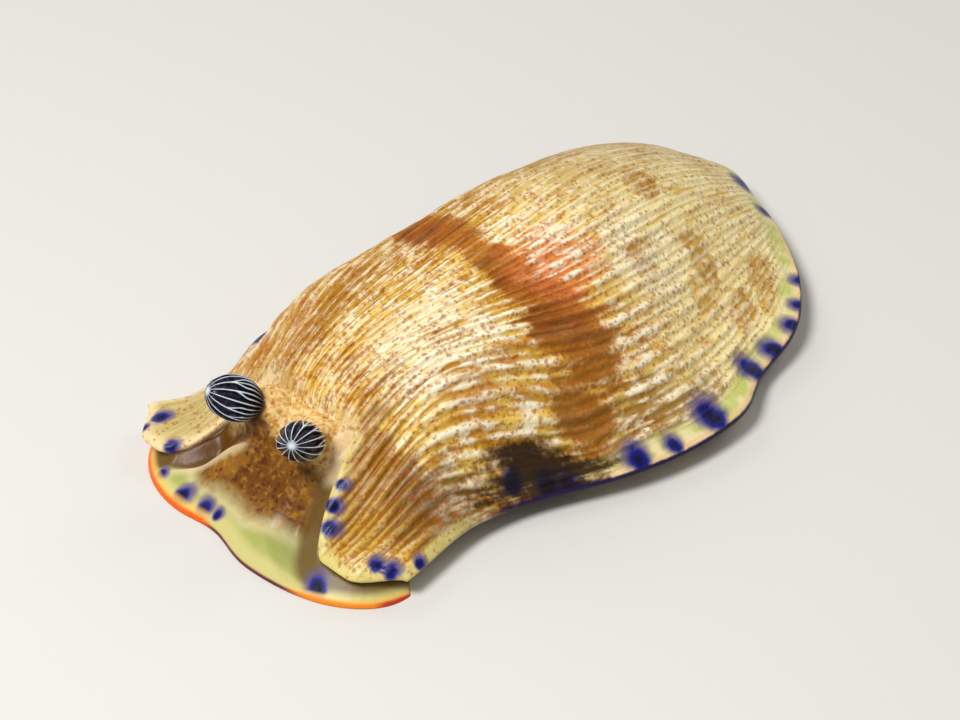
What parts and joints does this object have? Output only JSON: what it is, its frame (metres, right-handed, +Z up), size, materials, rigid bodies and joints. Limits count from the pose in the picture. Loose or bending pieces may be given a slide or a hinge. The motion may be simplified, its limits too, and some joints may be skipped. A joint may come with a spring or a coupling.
{
  "type": "dermatobranchus caeruleomaculatus nudibranch",
  "caption": "Still life-size sea slug with a low ridged mantle, a wide oral veil, gill flaps under the mantle and a pair of plated rhinophores.",
  "frame": {"origin": "on the floor under the middle of the foot, on the flat of the sole", "axes": "+Z up from the sole, +Y towards the tail, so the head points to -Y and the animal's left side is +X"},
  "size_m": [0.0235, 0.0393, 0.0091],
  "materials": {
    "notum_skin": "wet, soft, translucent skin: tan ochre with cream ridges, brown saddle and blue margin spots",
    "foot_skin": "wet, soft, pale cream skin",
    "head_skin": "wet, soft, translucent brown skin with dark specks",
    "veil_skin": "wet, soft cream skin with blue spots and an orange edge",
    "stalk_skin": "wet, soft, translucent tan skin",
    "club_skin": "wet, soft, blue-black skin with white plate edges"
  },
  "bodies": {
    "root": {"notum": "notum_skin", "foot": "foot_skin", "tail": "foot_skin", "head": "head_skin", "oral_veil": "veil_skin", "rhinophore_stalk_left": "stalk_skin", "rhinophore_stalk_right": "stalk_skin", "rhinophore_club_left": "club_skin", "rhinophore_club_right": "club_skin"}
  },
  "joints": []
}
